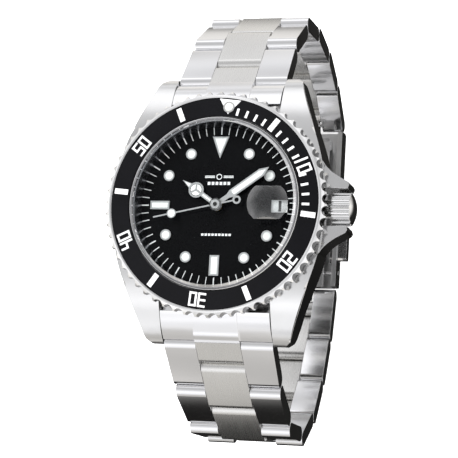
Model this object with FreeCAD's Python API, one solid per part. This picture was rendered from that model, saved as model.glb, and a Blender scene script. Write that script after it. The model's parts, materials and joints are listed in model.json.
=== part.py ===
"""Self-winding dive-style wristwatch on a folding-clasp steel bracelet.

Millimetres. +X towards the crown (3 o'clock), +Y towards 12 o'clock, +Z out of the
dial.  The origin is the centre of the case back's flat outer face, on the hands' axis.
"""
import FreeCAD, Part
import math
import os

os.makedirs("parts", exist_ok=True)
V = FreeCAD.Vector
EX, EZ = V(1, 0, 0), V(0, 0, 1)

# ---- driving dimensions -----------------------------------------------------------
dial_z = 8.5                # top face of the dial above the case back
bezel_r = 20.0              # outside of the coin edge
insert_inner_r, insert_outer_r = 15.46, 18.64
crystal_r = 14.85
dial_r = 14.9
movement_r = 13.0
lug_reach, lug_gap = 24.0, 20.2
crown_r, crown_x, crown_drop = 2.95, 20.15, 3.0
link_pitch, link_thick, link_gap = 11.0, 2.8, 0.16
centre_half, row_gap = 4.1, 0.06
strap_w_lug, strap_w_clasp = 20.0, 16.8
pin_r, run_gap = 0.5, 0.05
bezel_turn = -6.4           # rest position of the bezel, degrees clockwise is negative
hour_at, minute_at, second_at = 304.5, 54.0, 258.0   # hands, clockwise from 12
bends_12 = [39, 58, 87, 101, 115, 127]               # link slopes from +Y to -Z
bends_6 = [47, 60, 88, 118, 138, 149, 160]           # link slopes from -Y to -Z
lug_line_12, lug_line_6 = (23.4, 3.8), (-23.7, 4.1)  # outer start of the first links


# ---- helpers ----------------------------------------------------------------------
def z(rel):
    """Height of a level given relative to the dial."""
    return dial_z + rel


def tube(r, z0, z1, at=(0, 0), bore=0.0):
    lo, hi = min(z0, z1), max(z0, z1)
    s = Part.makeCylinder(r, hi - lo, V(at[0], at[1], lo))
    if bore:
        s = s.cut(Part.makeCylinder(bore, hi - lo + 2, V(at[0], at[1], lo - 1)))
    return s


def rod_x(r, x0, x1, y, zz, bore=0.0):
    s = Part.makeCylinder(r, x1 - x0, V(x0, y, zz), EX)
    if bore:
        s = s.cut(Part.makeCylinder(bore, x1 - x0 + 2, V(x0 - 1, y, zz), EX))
    return s


def box(x0, x1, y0, y1, z0, z1):
    return Part.makeBox(x1 - x0, y1 - y0, z1 - z0, V(x0, y0, z0))


def face(points):
    return Part.Face(Part.makePolygon([V(*p) for p in points] + [V(*points[0])]))


def plate(points, z0, z1):
    """Flat piece with a straight-sided outline in the dial plane."""
    return face([(x, y, z0) for x, y in points]).extrude(V(0, 0, z1 - z0))


def slab_x(points, x0, x1):
    """Side profile (y, z) carried from x0 to x1."""
    return face([(x0, y, w) for y, w in points]).extrude(V(x1 - x0, 0, 0))


def turned(points):
    """Ring or disc turned about the hands' axis from an (r, z) profile."""
    return face([(r, 0, w) for r, w in points]).revolve(V(0, 0, 0), EZ, 360)


def smooth(points, straight=()):
    """Closed outline: a curve through the points, then straight runs back to its start."""
    curve = Part.BSplineCurve()
    curve.interpolate([V(*p) for p in points])
    corners = [V(*points[-1])] + [V(*p) for p in straight] + [V(*points[0])]
    edges = [curve.toShape()] + [Part.makeLine(a, b) for a, b in zip(corners, corners[1:])]
    return Part.Face(Part.Wire(edges))


def spin(shape, deg, at=(0, 0)):
    s = shape.copy()
    s.rotate(V(at[0], at[1], 0), EZ, deg)
    return s


def fused(shapes):
    return shapes[0].multiFuse(shapes[1:]).removeSplitter() if len(shapes) > 1 else shapes[0]


def group(shapes):
    return Part.makeCompound(shapes)


def gear(module, teeth, z0, z1, at, toward=0.0, tooth_there=True, bore=0.0):
    """Toothed wheel with a tooth (or a gap) facing the given direction, in degrees."""
    r = module * teeth / 2.0
    step = 2 * math.pi / teeth
    first = math.radians(toward) + (0 if tooth_there else step / 2)
    pts = []
    for k in range(teeth):
        c = first + k * step
        for rad, off in ((r - 1.15 * module, -0.30), (r + 0.75 * module, -0.12),
                         (r + 0.75 * module, 0.12), (r - 1.15 * module, 0.30)):
            a = c + off * step
            pts.append((at[0] + rad * math.cos(a), at[1] + rad * math.sin(a)))
    s = plate(pts, z0, z1)
    return s.cut(tube(bore, z0 - 1, z1 + 1, at)) if bore else s


def spokes(rim_r, hub_r, width, count, z0, z1, at):
    """Windows that leave the given number of spokes between hub and rim."""
    ring = tube(rim_r, z0, z1, at, hub_r)
    for k in range(count):
        arm = box(at[0], at[0] + rim_r + 1, at[1] - width / 2, at[1] + width / 2, z0 - 1, z1 + 1)
        ring = ring.cut(spin(arm, 360.0 * k / count + 45, at))
    return ring


def clock(deg, r):
    a = math.radians(90 - deg)
    return r * math.cos(a), r * math.sin(a)


parts = {}

# ---- case -------------------------------------------------------------------------
flank = [(13.2, 23.2), (13.9, 21.0), (15.2, 17.5), (16.9, 13.0), (18.4, 8.0), (19.0, 0),
         (18.4, -8.0), (16.9, -13.0), (15.2, -17.5), (13.9, -21.0), (13.2, -23.2)]
tips = [(12.2, -lug_reach), (0, -lug_reach), (0, lug_reach), (12.2, lug_reach)]
right = smooth([(x, y, z(-8.6)) for x, y in flank], [(x, y, z(-8.6)) for x, y in tips])
right = right.extrude(V(0, 0, 10))
left = right.mirror(V(0, 0, 0), EX)
body = right.fuse(left)
crest = [(-lug_reach, -5.4), (-23.0, -4.1), (-20.5, -2.45), (-17.0, -0.95), (-13.5, -0.1),
         (-10.0, 0.25), (0, 0.3), (10.0, 0.25), (13.5, -0.1), (17.0, -0.95), (20.5, -2.45),
         (23.0, -4.1), (lug_reach, -5.4)]
under = [(23.9, -7.2), (22.4, -8.4), (20.4, -8.2), (17.2, -6.8), (14.0, -6.5),
         (-14.0, -6.5), (-17.2, -6.8), (-20.4, -8.2), (-22.4, -8.4), (-23.9, -7.2)]
side = smooth([(-25, y, z(w)) for y, w in crest], [(-25, y, z(w)) for y, w in under])
body = body.common(side.extrude(V(50, 0, 0)))
for sign in (1, -1):
    swoop = [(18.0, sign * 9.0, z(-5.6)), (19.2, sign * 7.0, z(-5.6)), (20.9, sign * 5.6, z(-5.6)),
             (22.9, sign * 4.5, z(-5.6))]
    tip = [(23.2, sign * 4.0, z(-5.6)), (23.0, sign * 3.3, z(-5.6)), (15.0, sign * 3.3, z(-5.6)),
           (15.0, sign * 9.0, z(-5.6))]
    body = body.fuse(smooth(swoop, tip).extrude(V(0, 0, 5.3)))
# slanted polish along the outer top edge of the lugs
for sx in (1, -1):
    for sy in (1, -1):
        edge = face([(sx * 12.3, sy * 25, z(-4.9)), (sx * 14.6, sy * 25, z(-4.9)),
                     (sx * 14.6, sy * 25, z(-7.3))])
        body = body.cut(edge.extrude(V(sx * 4.6, -sy * 13.0, 5.6)))
for sign in (1, -1):
    end = box(-lug_gap / 2, lug_gap / 2, min(sign * 16.4, sign * 30), max(sign * 16.4, sign * 30),
              z(-12), z(4))
    body = body.cut(end)
body = body.cut(box(-30, 30, -30, 30, z(0.28), z(3)))
neck = turned([(14.9, z(-1)), (15.34, z(-1)), (15.34, z(2.95)), (15.2, z(3.12)), (14.9, z(2.9))])
body = body.fuse(neck)
body = body.cut(tube(15.02, z(-0.5), z(4)))
body = body.cut(tube(15.5, z(-9), z(-0.5)))
body = body.cut(tube(16.6, z(-9), z(-6.0)))
body = body.cut(box(17.6, 26, -3.3, 3.3, z(-6.6), z(0.02)))
body = body.cut(rod_x(1.6, 14.5, 18.2, 0, z(-crown_drop)))
bar_y, bar_z = 20.6, z(-5.4)
for sy in (1, -1):
    body = body.cut(rod_x(0.45, -11.6, 11.6, sy * bar_y, bar_z))
parts["case_middle"] = body.removeSplitter()

# screwed back with six key notches round its rim
back = turned([(0, 0), (13.6, 0), (14.4, 0.45), (17.4, 0.75), (17.6, 1.0), (17.6, 2.0),
               (16.5, 2.0), (16.5, 2.45), (16.1, 2.45), (16.1, 2.0), (15.4, 2.0), (15.4, 3.0),
               (14.6, 3.0), (14.6, 1.2), (0, 1.2)])
for k in range(6):
    back = back.cut(spin(box(15.2, 16.6, -1.1, 1.1, -0.5, 1.15), 60 * k + 30))
parts["case_back"] = back
parts["case_back_gasket"] = turned([(15.45, 2.05), (16.05, 2.05), (16.05, 2.6), (15.45, 2.6)])
parts["case_middle"] = parts["case_middle"].cut(tube(17.65, 0, 2.02)).cut(tube(16.6, 1.5, 2.65))

# ---- bezel and crystal ------------------------------------------------------------
ring = turned([(15.40, z(0.55)), (19.5, z(0.55)), (bezel_r, z(0.95)), (bezel_r, z(2.1)),
               (19.6, z(2.55)), (19.2, z(2.84)), (18.95, z(2.94)), (18.74, z(2.88)), (18.66, z(2.7)),
               (18.66, z(2.15)), (15.40, z(2.45))])
flutes = []
for k in range(60):
    flute = tube(0.92, z(0.2), z(3.2), (bezel_r + 0.2, 0))
    flutes.append(spin(flute, 6.0 * k + 3 + bezel_turn))
ring = ring.cut(group(flutes))
parts["bezel_ring"] = ring
insert = turned([(insert_inner_r, z(2.45)), (insert_outer_r, z(2.155)), (insert_outer_r, z(2.74)),
                 (insert_inner_r, z(3.03))])
pip_at = clock(-bezel_turn, 17.1)
insert = insert.cut(tube(0.8, z(2.0), z(4), pip_at))
parts["bezel_insert"] = insert
pip = tube(0.78, z(2.32), z(2.9), pip_at)
dome = Part.makeSphere(0.9, V(pip_at[0], pip_at[1], z(2.42)))
parts["bezel_pip"] = pip.fuse(dome.common(tube(0.78, z(2.5), z(4), pip_at))).removeSplitter()
click = tube(18.2, z(0.3), z(0.42), bore=16.6)
for k in range(3):
    click = click.cut(spin(box(16.2, 17.2, -2.5, 2.5, z(0), z(1)), 120 * k))
parts["bezel_click_spring"] = click

parts["crystal"] = turned([(0, z(2.1)), (crystal_r, z(2.1)), (crystal_r, z(3.2)),
                           (crystal_r - 0.4, z(3.6)), (0, z(3.6))])
parts["crystal_gasket"] = tube(15.0, z(2.1), z(3.15), bore=14.87)
# date magnifier: flat sides, rounded ends, bevelled rim and a domed top
lens_x = 9.9
lens = slab_x([(-2.9, z(3.6)), (-2.9, z(3.8)), (-2.3, z(4.4)), (-2.3, z(4.6)),
               (2.3, z(4.6)), (2.3, z(4.4)), (2.9, z(3.8)), (2.9, z(3.6))], 6, 14)
ends = tube(3.65, z(3.6), z(3.8), (lens_x, 0))
ends = ends.fuse(Part.makeCone(3.65, 3.0, 0.65, V(lens_x, 0, z(3.8))))
dome = Part.makeSphere(9.0, V(lens_x, 0, z(4.5) - 9.0))
parts["cyclops_lens"] = lens.common(ends).common(dome).removeSplitter()

# ---- dial and hands ---------------------------------------------------------------
parts["rehaut"] = turned([(14.1, z(0)), (15.0, z(0)), (15.0, z(2.08)), (14.72, z(2.08))])
dial = tube(dial_r, z(-0.4), z(0), bore=0.95)
dial = dial.cut(box(9.6, 12.6, -1.12, 1.12, z(-1), z(1)))
parts["dial"] = dial

marker_h, marker_w = 0.32, 0.3     # height and frame width of the applied markers
dot_r = 0.975
frames, fills = [], []
for hour in (1, 2, 4, 5, 7, 8, 10, 11):
    at = clock(30 * hour, 10.6)
    frames.append(tube(dot_r, z(0), z(marker_h), at, dot_r - marker_w + 0.02))
    fills.append(tube(dot_r - marker_w + 0.02, z(0), z(marker_h - 0.05), at))
for deg, r0, r1, w in ((180, 8.8, 12.4, 1.73), (270, 8.8, 12.3, 1.5)):
    outer = box(-w / 2, w / 2, r0, r1, z(0), z(marker_h))
    inner = box(-w / 2 + marker_w, w / 2 - marker_w, r0 + marker_w, r1 - marker_w, z(0), z(marker_h))
    frames.append(spin(outer.cut(inner), -deg))
    fills.append(spin(box(-w / 2 + marker_w, w / 2 - marker_w, r0 + marker_w, r1 - marker_w,
                          z(0), z(marker_h - 0.05)), -deg))
tri_o = plate([(-1.5, 12.3), (0, 8.4), (1.5, 12.3)], z(0), z(marker_h))
tri_pts = [(-1.08, 12.02), (0, 9.2), (1.08, 12.02)]
frames.append(tri_o.cut(plate(tri_pts, z(-1), z(1))))
fills.append(plate(tri_pts, z(0), z(marker_h - 0.05)))
parts["hour_markers"] = group(frames)
parts["marker_lume"] = group(fills)

# hour hand: ring with three spokes ahead of a slim shank
hz0, hz1 = z(0.62), z(0.8)
hh = [tube(1.0, hz0, hz1), box(-0.42, 0.42, 0, 3.5, hz0, hz1), tube(1.38, hz0, hz1, (0, 4.7), 1.1),
      plate([(-0.5, 5.9), (0.5, 5.9), (0, 7.8)], hz0, hz1)]
for a in (180, 60, -60):
    arm = box(-0.14, 0.14, 4.7, 5.95, hz0, hz1)
    hh.append(spin(arm, a, (0, 4.7)))
hh = fused(hh).cut(tube(0.78, z(0), z(1)))
parts["hour_hand"] = spin(hh, -hour_at)
mz0, mz1 = z(1.05), z(1.22)
mh = [tube(0.95, mz0, mz1), plate([(-0.4, 0), (-0.4, 2.6), (-0.72, 3.4), (-0.72, 9.8), (0, 11.4),
                                   (0.72, 9.8), (0.72, 3.4), (0.4, 2.6), (0.4, 0)], mz0, mz1)]
mh = fused(mh).cut(tube(0.46, z(0), z(2)))
parts["minute_hand"] = spin(mh, -minute_at)
sz0, sz1 = z(1.5), z(1.62)
cap = turned([(0, sz0), (1.1, sz0), (1.1, sz1), (0.78, z(1.92)), (0.45, z(1.92)),
              (0.32, z(1.8)), (0, z(1.8))])
sh = [cap, box(-0.13, 0.13, -3.3, 11.5, sz0, sz1), tube(0.83, sz0, sz1, (0, 8.1)),
      tube(0.75, sz0, sz1, (0, -3.9), 0.4)]
parts["seconds_hand"] = spin(fused(sh).cut(tube(0.15, z(0), z(1.7))), -second_at)

# ---- movement ---------------------------------------------------------------------
barrel_at, third_at = clock(330, 6.72), clock(250, 4.5)
escape_at, balance_at = clock(170, 4.459), (4.6, -7.5)
fork_at = ((escape_at[0] + balance_at[0]) / 2, (escape_at[1] + balance_at[1]) / 2)


def heading(a, b):
    return math.degrees(math.atan2(b[1] - a[1], b[0] - a[0]))


main = tube(movement_r, z(-1.2), z(-2.4), bore=0.55)
main = main.cut(tube(6.2, z(-1.45), z(-3), barrel_at))
for at in (third_at, escape_at, balance_at, fork_at, barrel_at):
    main = main.cut(tube(0.2, z(-1), z(-3), at))
pillar_at = (15, 62, 230, 290)
pillars = [tube(0.9, z(-2.4), z(-4.0), clock(a, 11.6)) for a in pillar_at]
parts["main_plate"] = fused([main] + pillars)
bridge = tube(12.8, z(-4.0), z(-4.7)).cut(tube(4.5, z(-3), z(-5), balance_at))
bridge = bridge.cut(plate([(0.6, -8.0), (8.6, -6.0), (10, -16), (3.5, -16)], z(-3), z(-5)))
for at in ((0, 0), third_at, escape_at, barrel_at):
    bridge = bridge.cut(tube(0.2, z(-3), z(-4.5), at))
parts["train_bridge"] = bridge
cock_foot = (9.2, -4.3)
cock = plate([(balance_at[0] - 0.9, balance_at[1] - 0.7), (balance_at[0] + 0.9, balance_at[1] - 0.9),
              (cock_foot[0] + 1.0, cock_foot[1] - 0.9), (cock_foot[0] + 0.2, cock_foot[1] + 1.1),
              (balance_at[0] - 0.6, balance_at[1] + 0.9)], z(-4.95), z(-5.25))
cock = fused([cock, tube(0.8, z(-4.7), z(-5.0), cock_foot),
              plate([(balance_at[0] - 0.3, balance_at[1] - 0.5), (balance_at[0] + 2.9, balance_at[1] - 0.4),
                     (balance_at[0] + 2.9, balance_at[1] + 0.4), (balance_at[0], balance_at[1] + 0.5)],
                    z(-4.95), z(-5.25))])
parts["balance_cock"] = cock.cut(tube(0.2, z(-4.9), z(-5.15), balance_at))

barrel = [gear(0.14, 84, z(-2.78), z(-2.5), barrel_at, heading(barrel_at, (0, 0))),
          tube(5.4, z(-2.6), z(-1.55), barrel_at), tube(0.16, z(-4.45), z(-1.3), barrel_at)]
parts["barrel"] = fused(barrel)
centre = [gear(0.14, 12, z(-2.82), z(-2.46), (0, 0), heading((0, 0), barrel_at), False),
          gear(0.10, 80, z(-3.1), z(-2.95), (0, 0), heading((0, 0), third_at)),
          tube(0.5, z(-3.1), z(-2.3)), tube(0.44, z(-2.4), z(1.22))]
centre = fused(centre).cut(spokes(3.3, 1.0, 0.5, 4, z(-4), z(-2.9), (0, 0)))
parts["centre_wheel"] = centre.cut(tube(0.2, z(-4), z(2)))
m3 = 0.10 * 90 / 85
third = [gear(0.10, 10, z(-3.2), z(-2.85), third_at, heading(third_at, (0, 0)), False),
         gear(m3, 75, z(-3.5), z(-3.35), third_at, heading(third_at, (0, 0))),
         tube(0.16, z(-4.4), z(-1.3), third_at)]
third = fused(third).cut(spokes(3.3, 0.9, 0.5, 4, z(-4), z(-3.3), third_at))
parts["third_wheel"] = third
fourth = [gear(m3, 10, z(-3.6), z(-3.25), (0, 0), heading((0, 0), third_at), False),
          gear(0.098, 84, z(-3.9), z(-3.75), (0, 0), heading((0, 0), escape_at)),
          tube(0.15, z(-4.4), z(1.7)), tube(0.3, z(-3.9), z(-3.2))]
fourth = fused(fourth).cut(spokes(3.1, 0.9, 0.5, 4, z(-4), z(-3.7), (0, 0)))
parts["fourth_wheel"] = fourth
escape = [gear(0.098, 7, z(-3.95), z(-3.68), escape_at, heading(escape_at, (0, 0)), False),
          tube(0.16, z(-4.4), z(-1.3), escape_at)]
tooth_pts = []
for k in range(20):
    for rad, off in ((1.45, 0.0), (2.0, 9.0), (1.95, 12.0)):
        a = math.radians(18 * k + off)
        tooth_pts.append((escape_at[0] + rad * math.cos(a), escape_at[1] + rad * math.sin(a)))
toothed = plate(tooth_pts, z(-3.28), z(-3.17))
toothed = toothed.cut(spokes(1.2, 0.5, 0.3, 4, z(-4), z(-2), escape_at))
parts["escape_wheel"] = fused(escape + [toothed, tube(0.5, z(-3.28), z(-3.17), escape_at)])
lean = heading(fork_at, balance_at)
fork = [box(0, 1.75, -0.13, 0.13, z(-3.35), z(-3.2)), box(-0.15, 0.15, -1.5, 1.5, z(-3.35), z(-3.2)),
        box(1.6, 2.1, 0.28, 0.48, z(-3.35), z(-3.2)), box(1.6, 2.1, -0.48, -0.28, z(-3.35), z(-3.2)),
        box(1.45, 1.75, -0.48, 0.48, z(-3.35), z(-3.2))]
fork = fused(fork)
fork.rotate(V(0, 0, 0), EZ, lean)
fork.translate(V(fork_at[0], fork_at[1], 0))
parts["pallet_fork"] = fused([fork, tube(0.16, z(-3.75), z(-2.2), fork_at),
                              tube(0.3, z(-3.35), z(-3.2), fork_at)])
wheel = tube(3.6, z(-4.5), z(-4.2), balance_at)
wheel = wheel.cut(spokes(3.1, 0.55, 0.45, 3, z(-5), z(-4), balance_at))
parts["balance_wheel"] = fused([wheel, tube(0.16, z(-5.1), z(-1.5), balance_at),
                                tube(0.3, z(-4.5), z(-3.4), balance_at)])
coil_in, coil_out = [], []
turns, steps = 5, 24
for k in range(turns * steps + 1):
    a, r = 2 * math.pi * k / steps, 0.6 + 1.9 * k / (turns * steps)
    for coil, rad in ((coil_out, r + 0.05), (coil_in, r - 0.05)):
        coil.append((balance_at[0] + rad * math.cos(a), balance_at[1] + rad * math.sin(a)))
spiral = plate(coil_out + coil_in[::-1], z(-4.82), z(-4.66))
stud = tube(0.22, z(-4.95), z(-4.66), (balance_at[0] + 2.45, balance_at[1]))
parts["hairspring"] = fused([spiral, stud])
parts["rotor_bearing"] = fused([tube(1.5, z(-4.7), z(-5.45)), tube(0.75, z(-5.45), z(-6.2))])
web = tube(12.7, z(-5.55), z(-5.85)).cut(box(-13, 13, 0.0, 13, z(-7), z(-5)))
rim = tube(12.7, z(-5.85), z(-6.9), bore=11.0).cut(box(-13, 13, 0.0, 13, z(-7), z(-5)))
rotor = fused([web, rim, tube(2.2, z(-5.55), z(-6.1))]).cut(tube(0.8, z(-5), z(-7)))
for a in (245, 180, 115):
    rotor = rotor.cut(tube(1.9, z(-5), z(-6.5), clock(a, 7.2)))
parts["rotor"] = rotor
screws = []
for a in pillar_at:
    x, y = clock(a, 11.6)
    slot = box(x - 1, x + 1, y - 0.1, y + 0.1, z(-5.0), z(-4.85))
    screws.append(tube(0.7, z(-4.7), z(-4.95), (x, y)).cut(slot))
parts["bridge_screws"] = group(screws)
parts["hour_wheel"] = fused([gear(0.1, 48, z(-1.1), z(-0.95), (0, 0)), tube(0.74, z(-1.1), z(0.8))]).cut(
    tube(0.49, z(-2), z(2)))
date_ring = tube(12.7, z(-0.72), z(-0.55), bore=9.4)
teeth = [spin(box(9.0, 9.6, -0.2, 0.2, z(-0.72), z(-0.55)), 360.0 * k / 31) for k in range(31)]
parts["date_ring"] = fused([date_ring] + teeth)
holder = tube(15.45, z(-0.5), z(-4.6), bore=13.1).cut(rod_x(0.9, 12, 17, 0, z(-crown_drop)))
parts["movement_holder"] = holder.cut(tube(15.0, z(-0.5), z(-0.45)))
parts["main_plate"] = fused([parts["main_plate"], tube(13.0, z(-1.2), z(-0.42), bore=12.75)])

# ---- crown and stem ---------------------------------------------------------------
cz = z(-crown_drop)
knob = rod_x(crown_r, crown_x, 23.3, 0, cz)
cap = Part.makeSphere(5.0, V(19.2, 0, cz)).common(rod_x(2.75, 23.3, 25, 0, cz))
knob = knob.fuse(cap)
grooves = []
for k in range(16):
    a, far = 2 * math.pi * (k + 0.5) / 16, crown_r + 0.1
    grooves.append(rod_x(0.45, crown_x - 1, 23.4, far * math.cos(a), cz + far * math.sin(a)))
knob = knob.cut(group(grooves)).cut(rod_x(1.75, crown_x - 1, 21.6, 0, cz))
parts["crown"] = knob.cut(rod_x(0.55, 21, 22.6, 0, cz)).removeSplitter()
parts["stem"] = rod_x(0.55, 9.6, 22.6, 0, cz)
parts["crown_tube"] = rod_x(1.6, 15.6, 20.0, 0, cz, bore=0.95)
parts["crown_gasket"] = rod_x(0.93, 17.5, 18.3, 0, cz, bore=0.58)

# ---- bracelet ---------------------------------------------------------------------
def direction(sign, slope):
    a = math.radians(slope)
    return sign * math.cos(a), -math.sin(a)


def step(p, d, s):
    return p[0] + d[0] * s, p[1] + d[1] * s


def stadium(p, d, s0, s1, thick, x0, x1):
    """Flat bar with fully rounded ends, lying along d from s0 to s1, between x0 and x1."""
    r = thick / 2.0
    n = (-d[1], d[0])
    a, b = step(p, d, s0 + r), step(p, d, s1 - r)
    quad = [step(a, n, r), step(b, n, r), step(b, n, -r), step(a, n, -r)]
    bar = slab_x(quad, x0, x1)
    return bar.fuse([rod_x(r, x0, x1, a[0], a[1]), rod_x(r, x0, x1, b[0], b[1])]).removeSplitter()


def chain(start, sign, slopes):
    """Hinge centres and directions of the links on one side."""
    d = direction(sign, slopes[0])
    inward = (-sign * math.sin(math.radians(slopes[0])), -math.cos(math.radians(slopes[0])))
    p = step(step(start, inward, link_thick / 2), d, link_pitch / 4)
    out = []
    for slope in slopes:
        d = direction(sign, slope)
        out.append((p, d))
        p = step(p, d, link_pitch)
    return out


last_reach = 3 * link_pitch / 4 + 0.7   # the links at the clasp are a little longer


def link(p, d, w0, w1, last):
    """One link: two outer plates, a centre plate half a pitch on, and its two pins."""
    q = link_pitch / 4
    c = centre_half
    reach = last_reach if last else 3 * q - link_gap / 2
    plates = []
    for sx in (1, -1):
        lo, hi = sorted((sx * (c + row_gap), sx * (w0 / 2 + 0.01)))
        bar = stadium(p, d, -q + link_gap / 2, reach, link_thick, lo, hi)
        s0, s1 = step(p, d, -q - 1), step(p, d, 3 * q + 1)
        n = (-d[1], d[0])
        a0, a1 = sx * w0 / 2, sx * w1 / 2
        far = sx * (w0 / 2 + 3)
        wedge = face([(a0, *step(s0, n, -3)), (a1, *step(s1, n, -3)), (far, *step(s1, n, -3)),
                      (far, *step(s0, n, -3))]).extrude(V(0, n[0] * 6, n[1] * 6))
        bar = bar.cut(wedge)
        plates.append(bar)
    r = link_thick / 2
    tail = last_reach - 2 * r if last else 5 * q - link_gap / 2
    mid = stadium(p, d, q + link_gap / 2, tail, link_thick, -c, c)
    hinge = rod_x(pin_r, -w0 / 2 + 0.35, w0 / 2 - 0.35, p[0], p[1])
    plates = [b.cut(hinge) for b in plates]
    pins = [hinge]
    grip = step(p, d, (q + tail) / 2 if last else 3 * q - 0.9)
    fixed = rod_x(pin_r, -w1 / 2 + 0.45, w1 / 2 - 0.45, grip[0], grip[1])
    plates = [b.cut(fixed) for b in plates]
    mid = mid.cut(fixed)
    pins.append(fixed)
    end = step(p, d, link_pitch)
    if not last:
        mid = mid.cut(rod_x(pin_r + run_gap, -20, 20, end[0], end[1]))
    else:
        joint = step(p, d, last_reach - r)
        plates = [b.cut(rod_x(0.45, -w0 / 2 + 1.2, w0 / 2 - 1.2, joint[0], joint[1])) for b in plates]
    return plates + [mid] + pins


def strap(start, sign, slopes, name):
    joints = chain(start, sign, slopes)
    count = len(slopes)
    for k, (p, d) in enumerate(joints):
        w0 = strap_w_lug + (strap_w_clasp - strap_w_lug) * k / count
        w1 = strap_w_lug + (strap_w_clasp - strap_w_lug) * (k + 1) / count
        parts["%s_%d" % (name, k + 1)] = group(link(p, d, w0, w1, k == count - 1))
    return joints


side_12 = strap(lug_line_12, 1, bends_12, "link_12")
side_6 = strap(lug_line_6, -1, bends_6, "link_6")


def bulge(top, below, half):
    """Block from -half to half with a curved top and straight sides below."""
    outline = smooth([(-half, y, w) for y, w in top], [(-half, y, w) for y, w in below])
    return outline.extrude(V(2 * half, 0, 0))


def end_link(sign, joint, start):
    """Solid end piece between the lugs, with a centre tongue that carries the first link."""
    p, d = joint
    y0 = 16.55
    nose, top = abs(start[0]), start[1]
    shoulder = [(sign * 18.5, z(-1.35)), (sign * 19.5, z(-1.75)), (sign * 21.0, z(-2.6)),
                (sign * (nose - 0.45), top - 0.2)]
    below = [(sign * (nose - 1.3), top - 2.6), (sign * 21.6, z(-7.0)), (sign * y0, z(-6.9)),
             (sign * y0, z(-3.2)), (sign * 18.5, z(-3.2))]
    block = bulge(shoulder, below, 9.95)
    c = centre_half
    ridge = [(sign * y0, z(-0.75))] + [(y, w + 0.22) for y, w in shoulder[:3]] + [(sign * nose, top + 0.2)]
    block = block.fuse(bulge(ridge, [(sign * 21.0, z(-6.0)), (sign * y0, z(-6.0))], c))
    tongue = stadium(p, d, -link_pitch / 2, link_pitch / 4 - link_gap / 2, link_thick, -c, c)
    block = block.fuse(tongue)
    reach = link_pitch / 4 + link_gap / 2
    for sx in (1, -1):
        lo, hi = sorted((sx * c, sx * 12))
        block = block.cut(rod_x(reach, lo, hi, p[0], p[1]))
    block = block.cut(rod_x(pin_r + run_gap, -20, 20, p[0], p[1]))
    block = block.cut(rod_x(0.8, -20, 20, sign * bar_y, bar_z)).cut(tube(17.75, -5, 2.1))
    return block.removeSplitter()


parts["end_link_12"] = end_link(1, side_12[0], lug_line_12)
parts["end_link_6"] = end_link(-1, side_6[0], lug_line_6)
bars = []
for sy in (1, -1):
    bars.append(fused([rod_x(0.75, -9.6, 9.6, sy * bar_y, bar_z),
                       rod_x(0.42, -11.3, 11.3, sy * bar_y, bar_z)]))
parts["spring_bars"] = group(bars)

# ---- folding clasp ----------------------------------------------------------------
near = step(side_12[-1][0], side_12[-1][1], last_reach - link_thick / 2)
far = step(side_6[-1][0], side_6[-1][1], last_reach - link_thick / 2)
span = math.hypot(far[0] - near[0], far[1] - near[1])
along = ((far[0] - near[0]) / span, (far[1] - near[1]) / span)
across = (along[1], -along[0])
if across[1] < 0:
    across = (-across[0], -across[1])


def cl(a, b):
    """Clasp coordinates: a from the 12 side pivot to the 6 side pivot, b towards the wrist."""
    return step(step(near, along, a), across, b)


def clasp_slab(points, x0, x1):
    return slab_x([cl(a, b) for a, b in points], x0, x1)


def clasp_block(a0, a1, b0, b1, x0, x1):
    return clasp_slab([(a0, b0), (a1, b0), (a1, b1), (a0, b1)], x0, x1)


def clasp_rod(r, x0, x1, a, b):
    p = cl(a, b)
    return rod_x(r, x0, x1, p[0], p[1])


cover_w, wall = 17.6, 0.9
outer_b = -link_thick / 2 - 0.1
clear = link_thick / 2 + 0.35
shell = clasp_slab([(clear + 0.3, outer_b), (span - clear - 0.3, outer_b),
                    (span - clear, outer_b + 0.9), (span - clear - 0.2, 2.6), (clear + 0.2, 2.6),
                    (clear, outer_b + 0.9)], -cover_w / 2, cover_w / 2)
shell = shell.cut(clasp_block(clear - 2, span, outer_b + 1.0, 5, -cover_w / 2 + wall, cover_w / 2 - wall))
knuckle = clasp_rod(1.0, -3.3, 3.3, 0, 0).fuse(
    clasp_slab([(0, -1.0), (clear + 2.0, outer_b), (clear + 2.0, outer_b + 1.0), (0.6, 0.6)], -3.3, 3.3))
shell = shell.fuse(knuckle).cut(clasp_rod(0.5, -20, 20, 0, 0))
button_a, button_half, button_b, button_rise = 0.70 * span, 3.5, 0.75, 1.2
for sx in (1, -1):
    lo, hi = sorted((sx * 7.0, sx * 10.0))
    shell = shell.cut(clasp_block(button_a - button_half - 0.2, button_a + button_half + 0.2,
                                  button_b - button_rise - 0.2, button_b + button_rise + 0.2, lo, hi))

bend_a, bend_b = clear + 2.6, 1.05
inner = clasp_block(bend_a, span - clear, 1.55, 2.35, -6.1, 6.1)
arm = clasp_slab([(span - 4.5, 1.55), (span - 0.4, 0.7), (span + 0.2, 1.2), (span - 1.0, 2.35),
                  (span - 4.5, 2.35)], -3.3, 3.3)
inner = inner.fuse([arm, clasp_rod(1.0, -3.3, 3.3, span, 0)])
inner = inner.fuse([clasp_rod(1.3, 4.0, 6.1, bend_a, bend_b), clasp_rod(1.3, -6.1, -4.0, bend_a, bend_b)])
inner = inner.cut(clasp_rod(0.5, -20, 20, span, 0)).cut(clasp_rod(0.5, -20, 20, bend_a, bend_b))
inner = inner.cut(clasp_block(bend_a - 2, bend_a + 1.75, -1, 4, -3.9, 3.9))
for a in (0.36, 0.52, 0.68):
    inner = inner.cut(clasp_block(a * span - 1.8, a * span + 1.8, 1, 3, -2.2, 2.2))
hinge_pin = clasp_rod(0.5, -6.0, 6.0, bend_a, bend_b)
open_bar = clasp_rod(0.5, -3.4, 3.4, span, 0)
parts["clasp_inner_blade"] = group([inner.removeSplitter(), hinge_pin, open_bar])
mid_end = span - clear - 3.2
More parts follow.
